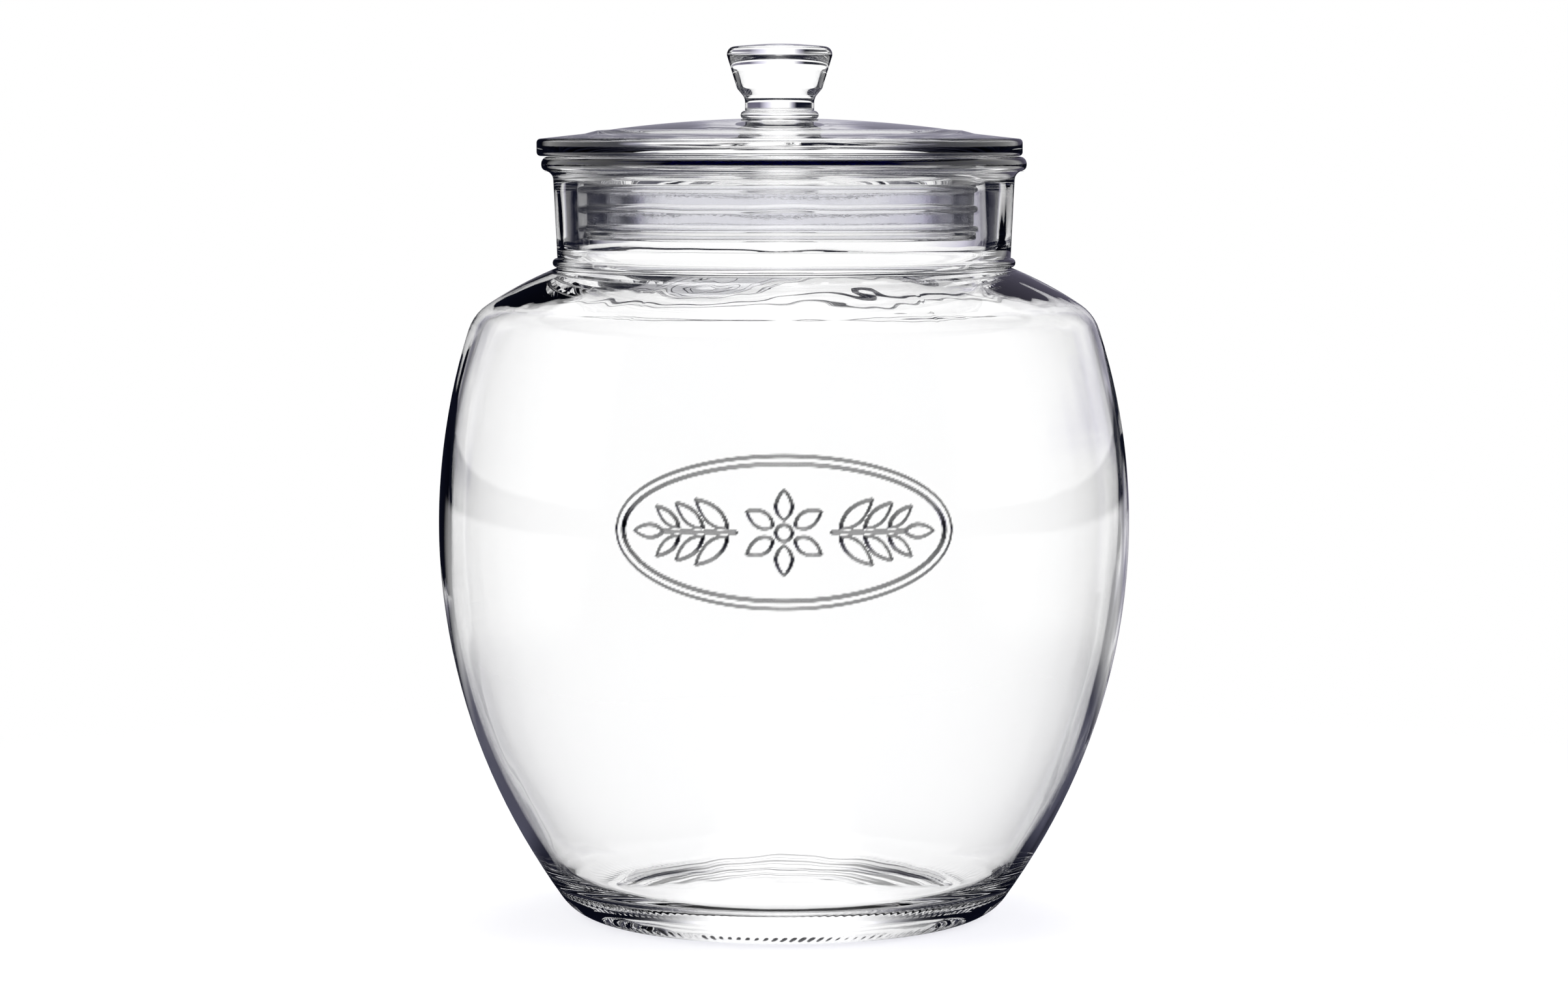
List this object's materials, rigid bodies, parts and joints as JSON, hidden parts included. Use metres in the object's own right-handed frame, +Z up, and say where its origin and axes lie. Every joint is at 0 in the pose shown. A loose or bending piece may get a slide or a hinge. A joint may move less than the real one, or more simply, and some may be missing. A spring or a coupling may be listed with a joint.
{
  "type": "glass storage jar",
  "caption": "Round-bellied clear glass storage jar with a wide neck, a flat flange and a knobbed glass lid with a silicone seal.",
  "frame": {"origin": "middle of the base, on the surface that the jar stands on", "axes": "+Z up along the jar's axis; the raised ornament faces -Y; +X to the right seen from the front"},
  "size_m": [0.19, 0.1907, 0.2396],
  "materials": {
    "jar_glass": "clear, blown, slightly uneven inside",
    "lid_glass": "clear, pressed",
    "silicone": "translucent, satin"
  },
  "bodies": {
    "root": {"jar": "jar_glass", "lid": "lid_glass", "seal": "silicone"}
  },
  "joints": []
}
